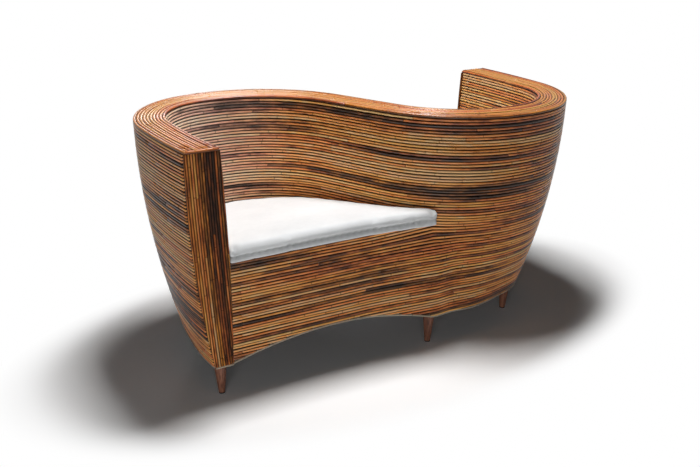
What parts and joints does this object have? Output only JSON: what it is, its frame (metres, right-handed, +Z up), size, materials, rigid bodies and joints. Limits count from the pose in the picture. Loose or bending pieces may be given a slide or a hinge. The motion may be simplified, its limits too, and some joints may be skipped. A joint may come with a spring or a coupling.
{
  "type": "s-shaped rattan sofa",
  "caption": "Curved conversation sofa: an S-shaped wall clad in rattan reeds makes a bucket seat on each side, with loose cushions and short tapered legs.",
  "frame": {"origin": "on the floor, on the upright axis about which one half of the sofa repeats the other at a half turn", "axes": "+X along the front apron, towards the lobe that backs the rear seat; -Y is the front; +Z up"},
  "size_m": [1.3552, 0.6198, 0.76],
  "materials": {
    "rattan_reed": "clear satin lacquer over split rattan reeds of mixed honey and brown",
    "rattan_rim": "satin lacquer over honey rattan reeds",
    "cane_edging": "pale flat cane strip",
    "frame_wood": "bare planed hardwood",
    "plywood": "bare sanded plywood",
    "leg_wood": "dark brown stain, satin",
    "glide_nylon": "black moulded nylon",
    "zinc_steel": "zinc plated",
    "white_canvas": "plain white cotton canvas"
  },
  "bodies": {
    "frame": {"rim_reeds": "rattan_rim", "front_seat_reeds": "rattan_reed", "rear_seat_reeds": "rattan_reed", "right_back_reeds": "rattan_reed", "left_back_reeds": "rattan_reed", "front_apron_reeds": "rattan_reed", "rear_apron_reeds": "rattan_reed", "front_end_reeds": "rattan_reed", "rear_end_reeds": "rattan_reed", "front_edging": "cane_edging", "rear_edging": "cane_edging", "top_rail": "frame_wood", "right_foot_rail": "frame_wood", "left_foot_rail": "frame_wood", "front_end_post": "frame_wood", "rear_end_post": "frame_wood", "right_rib_1": "frame_wood", "right_rib_2": "frame_wood", "right_rib_3": "frame_wood", "right_rib_4": "frame_wood", "left_rib_1": "frame_wood", "left_rib_2": "frame_wood", "left_rib_3": "frame_wood", "left_rib_4": "frame_wood", "middle_rib": "frame_wood", "right_middle_rib": "frame_wood", "left_middle_rib": "frame_wood", "front_seat_ledger": "frame_wood", "rear_seat_ledger": "frame_wood", "front_bearer_1": "frame_wood", "front_bearer_2": "frame_wood", "rear_bearer_1": "frame_wood", "rear_bearer_2": "frame_wood", "front_seat_deck": "plywood", "rear_seat_deck": "plywood", "front_apron_board": "plywood", "rear_apron_board": "plywood", "front_end_leg": "leg_wood", "rear_end_leg": "leg_wood", "front_middle_leg": "leg_wood", "rear_middle_leg": "leg_wood", "right_lobe_leg": "leg_wood", "left_lobe_leg": "leg_wood", "front_end_glide": "glide_nylon", "rear_end_glide": "glide_nylon", "front_middle_glide": "glide_nylon", "rear_middle_glide": "glide_nylon", "right_lobe_glide": "glide_nylon", "left_lobe_glide": "glide_nylon", "front_end_leg_bolt": "zinc_steel", "rear_end_leg_bolt": "zinc_steel", "front_middle_leg_bolt": "zinc_steel", "rear_middle_leg_bolt": "zinc_steel", "right_lobe_leg_bolt": "zinc_steel", "left_lobe_leg_bolt": "zinc_steel"},
    "front_cushion_body": {"front_cushion": "white_canvas"},
    "rear_cushion_body": {"rear_cushion": "white_canvas"}
  },
  "joints": [
    {"name": "front_cushion_lift", "type": "slide", "parent": "frame", "child": "front_cushion_body", "axis": [0, 0, 1], "range_m": [0, 0.4]},
    {"name": "rear_cushion_lift", "type": "slide", "parent": "frame", "child": "rear_cushion_body", "axis": [0, 0, 1], "range_m": [0, 0.4]}
  ]
}
